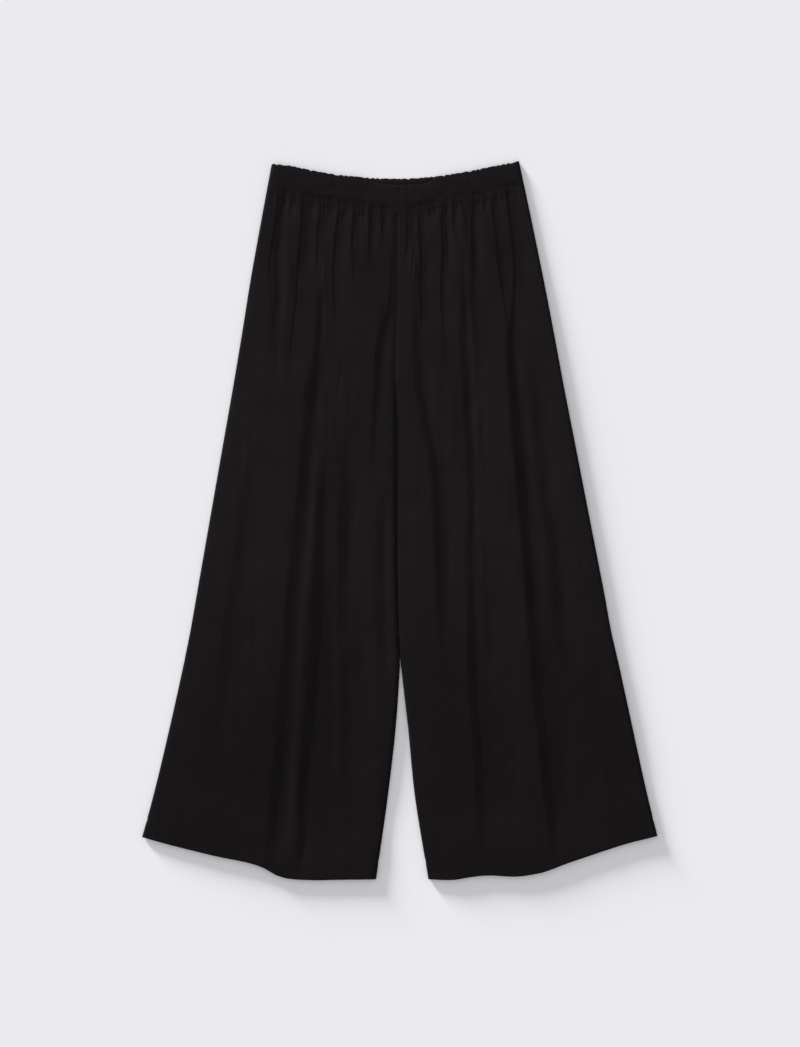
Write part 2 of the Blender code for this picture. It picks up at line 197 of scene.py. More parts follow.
RIGHT_GATHERS = (
    Fold(3.2, 10.8, 1.5, 0.5, 0, (
        (478, -176, 0.6), (462, -175, 1.5), (450, -175, 1.7), (430, -179, 1.8), (410, -181, 1.7),
        (395, -184, 1.5), (378, -187, 1.1), (345, -186, 0.8), (290, -181, 0.8), (262, -184, 0))),
    Fold(2.4, 6.2, 1.4, 0.5, 0, (
        (480, -164.5, 0.5), (474, -166, 1.3), (462, -169, 1.3), (448, -171.5, 0.9), (430, -173, 0.6),
        (410, -175, 0.6), (390, -177, 0.8), (350, -178, 0.8), (325, -177, 0.9), (290, -178, 0))),
    Fold(3, 6.2, 1.2, 0.5, 0, (
        (470, -155, 0.3), (462, -155.5, 0.8), (452, -156.5, 0.8), (440, -160, 0.5), (432, -162, 0))),
    Fold(3, 16, 1.3, 0.55, 0, (
        (474, -139.5, 0.6), (466, -139.5, 1.7), (450, -140, 1.8), (435, -140.5, 1.6),
        (415, -142.5, 1.9), (400, -143.5, 1.9), (380, -145, 1.9), (360, -147, 1.5),
        (345, -147.5, 1.3), (320, -149, 1.2), (290, -153, 1.1), (250, -156, 0.8), (222, -158, 0))),
    Fold(3.9, 9.3, 1, 0.5, 0, ((375, -156, 0), (360, -155, 0.5), (345, -153, 0.5), (325, -153, 0))),
    Fold(3, 6.2, 1.1, 0.5, 0, ((474, -127, 0.3), (462, -126, 0.7), (450, -127, 0.5), (440, -128, 0))),
    Fold(3.2, 15, 1.3, 0.6, 0, (
        (472, -116, 0.5), (460, -114, 1.6), (448, -113, 1.7), (438, -114.5, 1.6), (425, -117, 1.6),
        (410, -118, 1.7), (390, -117.5, 1.6), (375, -119, 1.2), (355, -118, 0.5), (340, -117, 0))),
    Fold(2.5, 5.5, 1.1, 0.5, 0, ((464, -102, 0.3), (455, -102, 0.8), (445, -102, 0.6), (434, -103, 0))),
    Fold(3, 12, 1.4, 0.55, 0, (
        (462, -86.5, 0.5), (452, -86, 1.3), (440, -88.5, 1.6), (425, -90, 1.7), (410, -92.5, 1.9),
        (398, -93, 2), (384, -94, 1.8), (365, -95.5, 1.4), (345, -94.5, 1.4), (320, -94, 1.1),
        (295, -92.5, 0.9), (262, -91, 0))),
    Fold(2, 4.1, 1, 0.5, 0, ((450, -82, 0), (444, -81.5, 0.6), (438, -82, 0.4), (428, -83, 0))),
    Fold(2.7, 12, 1.4, 0.55, 0, (
        (462, -66, 0.5), (452, -65, 1), (440, -66, 1.5), (425, -67, 1.6), (408, -68, 1.4),
        (392, -67, 1), (370, -66, 0.8), (350, -66, 0.5), (325, -67, 0))),
    Fold(2, 3.4, 1, 0.5, 0, ((458, -52.5, 0.3), (450, -52.5, 0.7), (441, -52.5, 0.4), (432, -53, 0))),
    Fold(2, 3.4, 1, 0.5, 0, ((452, -59, 0), (444, -58.5, 0.5), (434, -59, 0))),
    Fold(2.5, 8.5, 1.4, 0.5, 0, (
        (460, -44, 0.4), (450, -42.5, 1.3), (438, -41.5, 1.7), (426, -42, 1.6), (410, -43, 1.1),
        (395, -42.5, 1), (380, -42, 0.4), (362, -42, 0))),
    Fold(2.4, 7.8, 1.3, 0.5, 0, (
        (452, -24, 0.7), (445, -24.5, 1.7), (432, -24.5, 1.6), (420, -24, 1.2), (405, -23.5, 0.5),
        (382, -23.5, 0))),
)

RIGHT_FOLDS = (
    Fold(9, 24, 1.6, 0, 0.15, (
        (340, -112, 0), (320, -112.5, 0.8), (300, -113, 1.2), (280, -114, 1.5), (255, -116, 1.8),
        (225, -118, 2.1), (200, -121, 2.2), (175, -123, 1.8), (150, -125, 1.1), (120, -128, 0.7),
        (90, -129, 0.5), (60, -133, 0.6), (20, -138, 0.8), (-20, -141, 0.7), (-70, -145.5, 0.4),
        (-120, -151, 0.2), (-170, -154, 0.3), (-220, -157.5, 0.4), (-280, -163, 1),
        (-330, -168.5, 2.1), (-380, -172.5, 2.5), (-430, -176.5, 2.3), (-475, -180, 1.1),
        (-505, -184, 0.3))),
    Fold(12, 105, 1, 0, 0.35, (
        (140, -103, 0), (90, -106, 0.4), (40, -109, 1.2), (-10, -111, 2), (-60, -112, 2.6),
        (-110, -115, 3.1), (-160, -117, 3.6), (-210, -120.5, 3.6), (-260, -123.5, 3.6),
        (-310, -129.5, 3.8), (-360, -133.5, 3.8), (-410, -138, 3.8), (-460, -137, 2.8),
        (-512, -146, 0.6))),
    Fold(17, 25, 1.1, 0, 0, (
        (140, -77, 0), (90, -74, 1.1), (40, -71, 1.5), (-20, -72, 1.7), (-100, -73, 1.8),
        (-200, -72, 1.6), (-300, -69, 1.3), (-400, -72, 0.8), (-480, -75, 0))),
    Fold(14, 9, 1, 0, 0, (
        (50, -22, 0), (10, -21, 0.9), (-50, -22, 1.3), (-110, -22, 1.3), (-160, -21, 1.2),
        (-210, -20, 1), (-260, -20, 0.5), (-320, -20, 0))),
    Fold(18, 45, 1.1, 0, 0, (
        (120, -200, 0), (90, -203, 0.7), (50, -213, 1.3), (0, -219, 1.7), (-50, -224, 1.8),
        (-95, -229, 1.4), (-130, -235, 1.2), (-165, -237, 1.1), (-200, -241, 0.9), (-250, -247, 0.7),
        (-320, -256, 0))),
    Fold(4.2, 9, 2.4, 0, 0.15, (
        (395, -9.5, 0), (375, -9.5, 0.5), (350, -10, 0.8), (335, -11, 1), (318, -12, 1.2),
        (300, -13.5, 1.3), (285, -18.5, 1.4), (270, -24, 1.6), (255, -26, 1.6), (242, -28, 1.5),
        (228, -27.5, 1.3), (212, -27, 0.9), (190, -26, 0.5), (150, -26, 0))),
    Fold(2.4, 3.5, 1, 0, 0.3, (
        (238, -83, 0), (228, -83.5, 0.25), (205, -87.5, 0.3), (190, -88.5, 0.3), (175, -91.5, 0.25),
        (166, -97.5, 0.25), (158, -103, 0.2), (150, -106, 0))),
    Fold(7, 5, 1, 0, 0, ((165, -92, 0), (145, -92, 0.5), (115, -91, 0.4), (100, -91, 0))),
)

RIGHT_RIDGES = (
    Fold(6, 10, 1.3, 0, 0, (
        (400, -164, 0), (340, -163.5, -0.5), (300, -166.5, -0.6), (260, -168.5, -0.7),
        (220, -170, -0.6), (190, -171, -0.5), (150, -173, 0))),
    Fold(3, 5, 1.5, 0, 0, (
        (400, -111, 0), (380, -110.5, -0.5), (360, -110, -0.9), (346, -110, -0.8), (335, -109, -0.3),
        (305, -108, -0.5), (280, -107.5, -0.6), (262, -107, -0.4), (240, -107, 0))),
    Fold(3, 3, 1, 0, 0, ((420, -33, 0), (405, -32.5, -0.5), (385, -32.5, -0.5), (370, -33, 0))),
    Fold(9, 8, 1.3, 0, 0, (
        (215, -109, 0), (190, -110, -0.7), (175, -111, -0.7), (150, -114, -0.4), (100, -118, -0.4),
        (60, -121, -1), (20, -123, -1.3), (-20, -126, -1.5), (-60, -129, -1.3), (-100, -133, -1.3),
        (-140, -136, -1.2), (-200, -139, -1), (-260, -143, -1), (-320, -149, -0.9),
        (-380, -152, -0.9), (-440, -154, -0.9), (-480, -156, 0))),
    Fold(82, 11, 1, 0, 0, (
        (240, -136, 0), (190, -141, -2), (140, -144, -2.4), (90, -148, -2.7), (40, -152, -2.7),
        (-10, -156, -2.6), (-60, -161, -2.4), (-110, -167, -2.3), (-160, -170, -2.3),
        (-210, -174, -2.1), (-260, -179, -1.8), (-310, -184, -1.4), (-360, -189, -0.8),
        (-420, -193, 0))),
    Fold(34, 5, 1, 0, 0, (
        (330, -24, 0), (290, -30, -1.1), (240, -36, -1.5), (190, -38, -1.5), (150, -40, -1.2),
        (100, -44, -0.5), (50, -48, 0))),
)

LEFT_GATHERS = (
    Fold(2.5, 10.8, 1.2, 0.5, 0, (
        (456, 13, 0.6), (448, 13, 1.3), (430, 13, 1.4), (420, 12.5, 1.3), (410, 11.5, 1.2),
        (395, 11.5, 1.1), (386, 10, 0.7), (374, 8, 0))),
    Fold(2.7, 10.8, 1.6, 0.5, 0, (
        (468, 30, 0.5), (458, 30.5, 1.1), (440, 30, 1.4), (420, 30.5, 1.5), (400, 31.5, 1.9),
        (380, 32.5, 2.1), (362, 31.5, 2), (345, 30.5, 2), (325, 31.5, 1.5), (305, 32.5, 1.4),
        (292, 32.5, 0.8), (270, 31, 0))),
    Fold(2.4, 4.6, 1, 0.5, 0, ((458, 43.5, 0), (450, 43.5, 0.7), (442, 43.5, 0.7), (434, 44, 0))),
    Fold(2.4, 4.6, 1, 0.5, 0, ((458, 49, 0), (450, 49, 0.8), (440, 49, 0.6), (432, 49, 0))),
    Fold(2.7, 7.8, 1.6, 0.5, 0, (
        (462, 62, 0.4), (450, 62, 1), (435, 62.5, 1.3), (420, 63, 1.4), (404, 63.5, 1.9),
        (392, 64, 1.7), (376, 63, 1.4), (360, 62.5, 1.1), (345, 61.5, 1.2), (320, 62, 1.1),
        (300, 63, 1), (280, 64.5, 0.6), (240, 66, 0.4), (205, 67, 0))),
    Fold(2, 4.6, 1.2, 0.5, 0, (
        (460, 66, 0), (452, 66, 0.9), (444, 66.5, 0.6), (430, 68, 0.2), (415, 69, 0.7),
        (400, 69.5, 0.8), (385, 69.5, 0.5), (370, 70, 0))),
    Fold(3, 7.8, 1.2, 0.5, 0, (
        (466, 78, 0.5), (456, 78, 1.2), (440, 78.5, 1.2), (430, 79, 0.8), (416, 80, 0.3),
        (395, 81, 0))),
    Fold(2.5, 7.8, 1.2, 0.5, 0, (
        (464, 88.5, 0.4), (456, 91, 1), (446, 94, 1.4), (438, 96.5, 1.2), (425, 98.5, 0.7),
        (405, 100, 0))),
    Fold(2.5, 7.8, 1.4, 0.5, 0, (
        (466, 107.5, 0.5), (458, 107.5, 1.4), (445, 106.5, 1.5), (430, 105, 1.9), (410, 106, 2.2),
        (395, 106, 2.2), (381, 106, 1.9), (365, 107, 1.3), (345, 108.5, 0.9), (325, 110, 0))),
    Fold(2.4, 5.4, 1.1, 0.5, 0, ((468, 122.5, 0.5), (458, 122, 1.1), (448, 121.5, 0.6), (438, 121, 0))),
    Fold(2.7, 10.8, 1.5, 0.5, 0, (
        (474, 136, 0.4), (464, 135, 0.8), (450, 135, 1.1), (436, 138, 1.4), (420, 140, 1.4),
        (405, 142, 1.2), (388, 143, 1.5), (370, 145, 1.5), (355, 147.5, 1.5), (340, 149, 1.5),
        (320, 152, 1.3), (300, 156, 1), (280, 160, 0.4), (262, 163, 0))),
    Fold(3.2, 12.4, 1.5, 0.5, 0, (
        (487, 154, 0.5), (478, 155.5, 1.6), (465, 157.5, 1.8), (450, 159, 2.1), (435, 161, 2.3),
        (420, 162.5, 2.4), (405, 164.5, 2.2), (390, 166.5, 2), (370, 167.5, 2), (345, 167.5, 2),
        (325, 167, 1.9), (305, 166, 1.7), (290, 165.5, 1.2), (270, 165, 0.5), (255, 164, 0))),
)

LEFT_FOLDS = (
    Fold(11, 16, 1.3, 0, 0.1, (
        (312, 27, 0), (292, 27, 1), (270, 27, 1.2), (245, 28, 1.5), (220, 32, 1.8), (200, 32.5, 2),
        (180, 35.5, 2.2), (160, 39, 2), (140, 43, 2), (120, 48, 2.1), (100, 52, 2), (80, 54, 1.7),
        (60, 54, 0.6), (45, 54, 0))),
    Fold(10, 20, 1, 0.25, 0.5, (
        (115, 53, 0), (85, 54, 0.6), (60, 54, 1.8), (30, 54.5, 2.3), (0, 56, 2.3), (-30, 57, 2),
        (-60, 58, 1.6), (-100, 60, 1.3), (-140, 62, 0.8), (-180, 64, 0.4), (-230, 66, 0.2),
        (-400, 74, 0.3), (-460, 78, 0))),
    Fold(10, 60, 1, 0.25, 0.4, (
        (140, 50, 0), (95, 53, 0.4), (50, 54, 0.9), (0, 56, 1.2), (-60, 58, 1.1), (-110, 60, 0.9),
        (-160, 63, 0.5), (-230, 66, 0))),
    Fold(10, 20, 1.2, 0, 0.1, (
        (390, 94, 0), (350, 95, 0.9), (310, 97, 1.4), (280, 96, 1.4), (250, 97, 1.6), (230, 99, 1.6),
        (205, 101, 1.7), (175, 102, 1.8), (150, 103, 1.6), (125, 105, 1.6), (100, 107.5, 1.5),
        (70, 107.5, 1.4), (40, 109, 1.4), (10, 109, 1.4), (-30, 107, 1.2), (-55, 106, 0.7),
        (-85, 106, 0))),
    Fold(13, 48, 1.1, 0.1, 0.15, (
        (-30, 106, 0), (-60, 107, 1.3), (-110, 109, 2.1), (-160, 110.5, 2.5), (-210, 111, 2.9),
        (-260, 113.5, 2.8), (-310, 117.5, 3.1), (-360, 120, 2.8), (-415, 122.5, 2),
        (-455, 121, 0.7), (-480, 118, 0))),
    Fold(9, 18, 1.1, 0, 0.55, (
        (315, 167, 0), (290, 165, 0.9), (268, 162, 1.8), (240, 161, 2.4), (215, 163, 2.6),
        (190, 165, 2.7), (165, 167, 2.6), (140, 168.5, 2.6), (115, 170.5, 2.7), (90, 172.5, 2.7),
        (40, 178, 2.6), (-10, 182, 2.6), (-60, 187, 2.3), (-100, 190.5, 1.4), (-130, 192, 0.6),
        (-160, 194, 0))),
    Fold(15, 34, 1, 0.1, 0.15, (
        (-60, 189, 0), (-90, 191, 0.7), (-130, 195, 1.7), (-160, 198, 2), (-210, 203, 2.1),
        (-260, 207, 2.1), (-310, 213.5, 2.3), (-360, 219, 2.4), (-410, 223.5, 2.2), (-455, 228, 1.1),
        (-495, 231, 0))),
    Fold(17, 20, 1.1, 0, 0, (
        (235, 197, 0), (190, 201, 0.9), (150, 205, 1.6), (120, 208, 1.6), (80, 214, 1.8),
        (40, 215, 1.9), (0, 224, 1.9), (-40, 230, 2), (-90, 233, 1.8), (-130, 237.5, 1.6),
        (-170, 243.5, 1.3), (-230, 248, 0))),
    Fold(9, 24, 1, 0.3, 0, (
        (345, 107, 0), (315, 110, 0.8), (290, 113, 1.1), (240, 117, 1.1), (205, 117, 0.5),
        (175, 118, 0))),
    Fold(3.5, 4, 1, 0, 0, ((165, 122, 0), (150, 122, 0.3), (130, 120.5, 0.3), (115, 120, 0))),
)

LEFT_RIDGES = (
    Fold(3, 3, 1, 0, 0, ((400, 16.5, 0), (390, 16.7, -0.8), (374, 16.7, -0.9), (364, 17, 0))),
    Fold(3, 3, 1, 0, 0, ((378, 22, 0), (370, 22, -0.7), (357, 22, -0.7), (346, 22, 0))),
    Fold(3.3, 3, 1, 0, 0, ((440, 24.5, 0), (428, 25, -0.5), (415, 25, -0.4), (405, 25, 0))),
    Fold(5.2, 6, 1.4, 0, 0, (
        (456, 84, 0), (446, 86, -0.4), (430, 89, -0.6), (410, 92.5, -0.6), (395, 96, -0.6),
        (382, 99.5, -0.6), (365, 98.5, -0.6), (345, 98.5, -0.5), (320, 100, -0.4), (300, 104, -0.5),
        (270, 106.5, -0.6), (240, 108, -0.5), (200, 109, -0.4), (170, 111, -0.5), (140, 112, -0.7),
        (115, 114, -0.8), (98, 114.5, -0.7), (80, 114, -0.3), (60, 115, -0.4), (20, 115.5, -0.5),
        (-60, 119, -0.4), (-110, 120, -0.5), (-160, 121, -0.3), (-220, 122, 0))),
    Fold(58, 7.5, 1.2, 0, 0, (
        (310, 148, 0), (250, 152, -1.2), (200, 156, -1.9), (140, 160, -2.6), (90, 164, -2.9),
        (40, 169, -3), (-10, 173, -3), (-60, 177, -2.9), (-110, 181, -2.9), (-160, 184, -2.8),
        (-210, 188, -2.7), (-260, 191, -2.4), (-310, 197, -2), (-360, 203, -1.7),
        (-410, 208, -1.3), (-460, 214, -0.7), (-500, 218, 0))),
)

# Unevenness of the cloth, from a grid of seeded heights: how wide, long and high its patches are
Patch = namedtuple("Patch", "across along height seed")
PATCH_GRID = 256
PATCH_START = 100
UNEVEN_CLOTH = (
    Patch(34, 90, 0.25, 3), Patch(11, 130, 0.14, 8), Patch(6, 55, 0.08, 15), Patch(15, 17, 0.14, 17),
)

# Fine gathers just below the waist seam
SMALL_GATHERS = Patch(3.1, 60, 0.6, 21)
SMALL_GATHER_LENGTH = 34

# How far folds stray sideways from their rows, and by what share their depth varies
FOLD_STRAYS = Patch(34, 42, 0.6, 31)
FOLD_VARIES = Patch(24, 60, 0.18, 37)

# Small dents in the legs' fronts
Dent = namedtuple("Dent", "x y wide high depth")
LEG_DENTS = (
    Dent(-150, 134, 9, 5, 0.5), Dent(-214, 117, 6, 6, 0.4), Dent(-57, 124, 5, 6, 0.25),
    Dent(-92, -127, 4, 9, 0.3), Dent(-78, -460, 5, 5, 0.4), Dent(-296, -70, 8, 9, 0.4),
    Dent(80, 84, 5, 6, 0.4), Dent(64, 190, 6, 7, 0.4), Dent(124, 70, 4, 6, 0.4),
    Dent(258, -324, 6, 6, 0.4), Dent(306, -289, 6, 6, 0.4), Dent(310, -372, 7, 7, 0.4),
    Dent(212, 150, 9, 10, 0.5), Dent(250, 20, 8, 8, 0.3),
)

# The back panels: gathers at the waist and long folds below, each a rise between narrow valleys,
# and the height of both together from which the cloth rises no further
BACK_RISE = 1.2
BACK_FULL_RISE = 2
BACK_GATHERS = Patch(8.5, 95, 3.2, 43)
BACK_GATHER_LENGTH = 170
BACK_FOLDS = Patch(46, 420, 1.4, 47)

# Rows and columns of the sheets, which are closer at the waist, the hem and the long edges
FRONT_COLUMNS, BACK_COLUMNS = 282, 120
ROW_STEP_AT_WAIST, ROW_STEP, BACK_ROW_STEP = 1.4, 7, 9
ROW_STEP_GROWS = 1.09
EDGE_SHARES = (0, 0.0016, 0.004, 0.0075, 0.012, 0.018)
EDGE_ROWS = (0.35, 0.9, 1.7, 3)
HEM_ROWS = (6, 10, 14, 18, 22, 23.5, 25, 26.5, 28.5, 32)

# Waistband casing: its rows, from the waist seam up
BAND_MIDDLE_Y = 500
BAND_ROWS_UP = (
    0, 0.012, 0.035, 0.07, 0.11, 0.16, 0.21, 0.26, 0.31, 0.36, 0.41, 0.46, 0.51, 0.56, 0.61, 0.66,
    0.71, 0.76, 0.81, 0.86, 0.9, 0.935, 0.96, 0.98, 0.993, 1,
)
FRONT_BAND_LIES_AT = 3.0
CASING_CUT_WIDTH = 490
CASING_CUT_HEIGHT = 37

# Places along the casing, and how far the front half's upper edge dips below the back half's there
FRONT_DIP = (
    (-64, 0), (-50, 1), (-38, 5), (-24, 9), (0, 9.6), (24, 9.8), (38, 9.4), (46, 6), (56, 1.5),
    (70, 0),
)

# The line that this edge presses into the back half
DIP_LINE = 0.5
DIP_LINE_ABOVE = 1.3
DIP_LINE_WIDTH = 1.3

# The elastic's ripples: their grooves, which scallop the upper edge, and the waves along the casing
# in which their places wander and their depth varies
RIPPLES = 38
COLUMNS_PER_RIPPLE = 9
RIPPLE_DEPTH = 0.3
BACK_RIPPLE_SHARE = 0.8
RIPPLE_SHARPNESS = 2.2
SCALLOP = 1.5
SCALLOP_FADES = 4
Wander = namedtuple("Wander", "size waves lean")
RIPPLES_WANDER = (Wander(0.28, 61, 0), Wander(0.12, 143, 2))
RIPPLE_VARIES = 0.3
RIPPLE_VARIES_WAVES = 47

# The casing thins out at its ends, and the legs' gathers run up into its lower part
BAND_END_ROLL = 7
BAND_END_THICK = 0.75
BAND_GATHERED = 0.26
BAND_GATHERS_AT = 8

# How thick each half is, from the waist seam up, and how deep its ripples are there
BandLevel = namedtuple("BandLevel", "up front back ripple")
BAND_PROFILE = (
    BandLevel(0, 2.9, 1.0, 0),
    BandLevel(0.06, 2.9, 1.5, 0.2),
    BandLevel(0.14, 2.9, 1.9, 0.3),
    BandLevel(0.3, 2.95, 2.3, 0.2),
    BandLevel(0.5, 2.95, 2.5, 0.15),
    BandLevel(0.68, 2.85, 2.6, 0.2),
    BandLevel(0.85, 2.6, 2.4, 0.4),
    BandLevel(0.95, 2.4, 2.0, 0.8),
    BandLevel(1, 2.0, 1.4, 1),
)

# Dents in the front half, and the low bulges between them, which have depths below 0
BAND_DENTS = (
    Dent(-146, 495, 9, 4, 0.27), Dent(-127, 476, 4, 7, 0.21), Dent(-112, 467, 14, 2.5, 0.16),
    Dent(-97, 481, 9, 3.2, 0.43), Dent(-70, 478, 8, 4, 0.32), Dent(-50, 475, 8, 6, 0.37),
    Dent(-28, 471, 10, 2.6, 0.21), Dent(-36, 490, 6, 3, 0.27), Dent(-12, 471, 9, 2, 0.27),
    Dent(0, 475, 1.8, 6, 0.64), Dent(14.5, 479, 1.4, 4, 0.27), Dent(24, 476, 3, 4, 0.27),
    Dent(14, 469, 13, 2, 0.27), Dent(60, 471, 5, 4, 0.32), Dent(69, 479, 3, 5, 0.21),
    Dent(102, 487, 4, 6, 0.27), Dent(117, 471, 5, 4, 0.43), Dent(131, 489, 5, 4, 0.27),
    Dent(154, 481, 3, 5, 0.37), Dent(165, 485, 5, 4, 0.27), Dent(38.5, 491, 3, 3, 0.27),
    Dent(-177, 507, 5, 6, -0.21), Dent(-118, 499, 6, 4, -0.16), Dent(-104, 473, 16, 3.5, -0.16),
    Dent(82, 494, 6, 5, -0.16), Dent(-8, 482, 5, 2.5, -0.21), Dent(170, 510, 6, 8, -0.16),
)

# Stitches: one stitch, the row along the casing, the blind rows above the hems, and how deep each
# sinks into the cloth
STITCH_LENGTH, STITCH_WIDTH, STITCH_HEIGHT = 2.6, 0.55, 0.4
CASING_STITCH_PITCH = 3.4
CASING_STITCH_UP = 0.11
HEM_STITCH_PITCH = 7
HEM_STITCH_LENGTH = 0.8
STITCH_SUNK = 0.12
HEM_STITCH_SUNK = 0.13

# Crepe, by what the eye sees in it. The dye is cloudy over some 60 mm. The pebbles of a real crepe
# are about 0.3 mm, too fine to show, so they are drawn three times as coarse, and the slubs in its
# yarn, 0.5 mm wide, as streaks of 1.6 mm. Both are low: from above they only break up the light
CLOUD_SIZE = 60
GRAIN_SIZE = 0.9
STREAK_WIDTH, STREAK_LENGTH = 1.6, 26
# A finish's at_hem colour is painted shade: the darker colour that the cloth is given towards the hem
Finish = namedtuple("Finish", "name dark pale at_hem roughness grain_height streak_height")
LEG_CREPE = Finish("black_crepe", "181516", "1c1a1b", "141213", 0.85, 0.03, 0.06)
CASING_CREPE = Finish("black_crepe_gathered", "191617", "1b1819", "191617", 0.82, 0.05, 0.14)

# Painted shade: towards the hem the legs' colour is made darker. From where to where, and by what share
HEM_SHADE_FROM, HEM_SHADE_TO = 450, 750
HEM_SHADE_SHARE = 0.5

# Thread: its plies turn about every 0.4 mm, which shows only up close
THREAD_COLOUR = "131111"
THREAD_PLY = 0.4
THREAD_PLY_HEIGHT = 0.05

# Studio: the floor, an even light from all round and one low lamp to the upper left
FLOOR_SIZE = 14
FLOOR_LIES_AT = -0.15
FLOOR_COLOURS = ("e6e5ea", "e8e7ec")
FLOOR_PATCHES_PER_METRE = 1.5
SKY_COLOUR, SKY_STRENGTH = "f4f4f4", 0.755
LAMP_STRENGTH = 8.6
LAMP_HEIGHT_ANGLE = 7.5
LAMP_FROM_X, LAMP_FROM_Y = -0.6, 0.8
LAMP_WIDTH_ANGLE = 10

# A leg: whether its side seam is its left edge as seen, and the tables above that shape it
Leg = namedtuple("Leg", "side_is_left edges hem swell inner centre_roll folds")
RIGHT_LEG = Leg(True, RIGHT_LEG_EDGES, RIGHT_HEM, RIGHT_SWELL, RIGHT_INNER, RIGHT_CENTRE_ROLL, (
    (GATHER_SECTION, RIGHT_GATHERS), (FOLD_SECTION, RIGHT_FOLDS), (RIDGE_SECTION, RIGHT_RIDGES)))
LEFT_LEG = Leg(False, LEFT_LEG_EDGES, LEFT_HEM, LEFT_SWELL, LEFT_INNER, LEFT_CENTRE_ROLL, (
    (GATHER_SECTION, LEFT_GATHERS), (FOLD_SECTION, LEFT_FOLDS), (RIDGE_SECTION, LEFT_RIDGES)))
LEGS = {"right": RIGHT_LEG, "left": LEFT_LEG}


# Curves and steps


def read_curve(rows, at):
    """The other columns of a table at values of its first column, on smooth curves."""
    rows = np.array(sorted(rows), float)
    keys, values = rows[:, 0], rows[:, 1:]
    before = np.maximum(np.arange(len(keys)) - 1, 0)
    after = np.minimum(np.arange(len(keys)) + 1, len(keys) - 1)
    slopes = (values[after] - values[before]) / (keys[after] - keys[before])[:, None]
    at = np.clip(at, keys[0], keys[-1])
    i = np.clip(np.searchsorted(keys, at, side="right") - 1, 0, len(keys) - 2)
    span = (keys[i + 1] - keys[i])[..., None]
    t = (at - keys[i])[..., None] / span
    return (
        values[i] * (2 * t**3 - 3 * t**2 + 1)
        + slopes[i] * span * (t**3 - 2 * t**2 + t)
        + values[i + 1] * (3 * t**2 - 2 * t**3)
        + slopes[i + 1] * span * (t**3 - t**2)
    )


def ramp(t):
    """0 below 0, 1 above 1 and a smooth rise between."""
    t = np.clip(t, 0, 1)
    return t * t * (3 - 2 * t)


def blend(a, b, share):
    return a + (b - a) * share


def bump(t):
    """1 at 0, fading to nothing by 2 either way."""
    return np.exp(-(t**2))


def rounding(t):
    """How far a round edge has sunk, from 1 at the edge to 0 where it is flat."""
    return 1 - np.sqrt(1 - (1 - np.clip(t, 0, 1)) ** 2)


def uneven(patch, x, y):
    """Smooth uneven heights over the cloth, the same on every run."""
    across, along = x / patch.across + PATCH_START, y / patch.along + PATCH_START
    values = np.random.default_rng(patch.seed).uniform(-1, 1, (PATCH_GRID, PATCH_GRID))
    i, j = np.floor(across).astype(int), np.floor(along).astype(int)
    t, u = ramp(across - i), ramp(along - j)
    next_i, next_j = (i + 1) % PATCH_GRID, (j + 1) % PATCH_GRID
    i, j = i % PATCH_GRID, j % PATCH_GRID
    left = blend(values[i, j], values[i, next_j], u)
    right = blend(values[next_i, j], values[next_i, next_j], u)
    return patch.height * blend(left, right, t)


# Leg panels


# A panel's points: where they are, how far below the waist seam, how far from the hem, the side
# seam and the inner edge, and where they are on the flat cut
Panel = namedtuple("Panel", "x y down to_hem to_side to_inner cut")


def row_distances(step):
    """Distances of the rows below the waist seam: close at both ends."""
    rows = [0, *EDGE_ROWS]
    gap = ROW_STEP_AT_WAIST
    while rows[-1] < PANEL_LENGTH - HEM_ROWS[-1] - step:
        rows.append(rows[-1] + gap)
        gap = min(gap * ROW_STEP_GROWS, step)
    rows += [PANEL_LENGTH - up for up in reversed((0, *EDGE_ROWS, *HEM_ROWS))]
    return np.array(rows)


def column_shares(count):
    """Shares of the way across: close at both edges."""
    inner = np.linspace(EDGE_SHARES[-1], 1 - EDGE_SHARES[-1], count - 2 * len(EDGE_SHARES) + 2)
    left = np.array(EDGE_SHARES[:-1])
    return np.concatenate([left, inner, 1 - left[::-1]])


def lay_panel(leg, shares, distances, hem_short):
    """Where the points of a panel are on the surface, and how far they are from its edges."""
    across, along = np.meshgrid(shares, distances / PANEL_LENGTH)
    y = blend(WAIST_Y, -WAIST_Y, along)
    for _ in range(SETTLING_STEPS):
        edges = read_curve(leg.edges, y)
        left, right = edges[..., 0], edges[..., 1]
        x = blend(left, right, across)
        seam_y = read_curve(WAIST_SEAM, x)[..., 0] + SEAM_OVERLAP
        hem_y = read_curve(leg.hem, x)[..., 0] + hem_short
        y = blend(seam_y, hem_y, along)
    down, to_hem = seam_y - y, y - hem_y
    from_left, from_right = x - left, right - x
    at_hem_seam = HEM_NOTCH * bump((to_hem - HEM_DEPTH) / HEM_NOTCH_HEIGHT)
    x = x + at_hem_seam * (bump(from_left / HEM_NOTCH_REACH) - bump(from_right / HEM_NOTCH_REACH))
    if leg.side_is_left:
        x = x + SEAM_OVERLAP * across
    cut_width = blend(CUT_AT_WAIST, CUT_AT_HEM, along)
    cut = np.stack([(across - 0.5) * cut_width, -along * PANEL_LENGTH], -1)
    to_side, to_inner = (from_left, from_right) if leg.side_is_left else (from_right, from_left)
    return Panel(x, y, down, to_hem, to_side, to_inner, cut * MM)


def even_ramp(t):
    """0 below 0, 1 above 1 and a rise between that is nearly straight."""
    return blend(np.clip(t, 0, 1), ramp(t), WALL_SMOOTHNESS)


